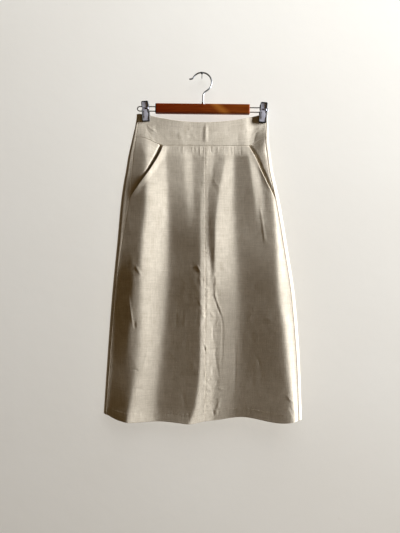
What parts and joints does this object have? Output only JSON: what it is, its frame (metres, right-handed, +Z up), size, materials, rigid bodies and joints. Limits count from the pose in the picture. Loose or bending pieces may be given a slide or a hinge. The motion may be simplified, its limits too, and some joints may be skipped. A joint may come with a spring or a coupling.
{
  "type": "maxi skirt on a clip hanger",
  "caption": "Long A-line linen skirt with a wide shaped waistband, slant hip pockets and a centre-back zip, hung by its waistband from a wooden-bar clip hanger.",
  "frame": {"origin": "where the inside of the hook's bend rests on the nail, rod or wall hook that holds it up; everything hangs below", "axes": "+Z up, the skirt's front faces -Y, +X is to the right as seen from the front"},
  "size_m": [0.5225, 0.0822, 0.9412],
  "materials": {
    "linen": "natural unbleached linen, plain weave with slubs, matt, softly creased",
    "pocket_cloth": "the same linen, pocket layers",
    "zip_tape": "woven zip tape, beige, matt",
    "zip_metal": "beige enamelled zip metal, satin",
    "hanger_wire": "bright plated steel wire",
    "hanger_wood": "red-brown stained and varnished hardwood, straight grain",
    "clip_plate": "grey plated pressed steel",
    "clip_rubber": "black rubber, matt"
  },
  "bodies": {
    "skirt": {"back_left": "linen", "back_right": "linen", "clip_left_jaw_back": "clip_plate", "clip_left_jaw_front": "clip_plate", "clip_left_pad_back": "clip_rubber", "clip_left_pad_front": "clip_rubber", "clip_left_spring": "clip_plate", "clip_right_jaw_back": "clip_plate", "clip_right_jaw_front": "clip_plate", "clip_right_pad_back": "clip_rubber", "clip_right_pad_front": "clip_rubber", "clip_right_spring": "clip_plate", "front_left": "linen", "front_right": "linen", "hip_left": "linen", "hip_right": "linen", "hook": "hanger_wire", "hook_ferrule": "hanger_wire", "pocket_back_left": "pocket_cloth", "pocket_back_right": "pocket_cloth", "pocket_front_left": "pocket_cloth", "pocket_front_right": "pocket_cloth", "rail_left": "hanger_wire", "rail_right": "hanger_wire", "waistband_back_left": "linen", "waistband_back_right": "linen", "waistband_front": "linen", "wooden_bar": "hanger_wood", "zip_slider": "zip_metal", "zip_tape": "zip_tape"},
    "pull_tab": {"zip_pull": "zip_metal"}
  },
  "joints": [
    {"name": "pull_swing", "type": "hinge", "parent": "skirt", "child": "pull_tab", "pos_m": [0.004, 0.0128, -0.14503], "axis": [1, 0, 0], "range_deg": [0, 170]}
  ]
}
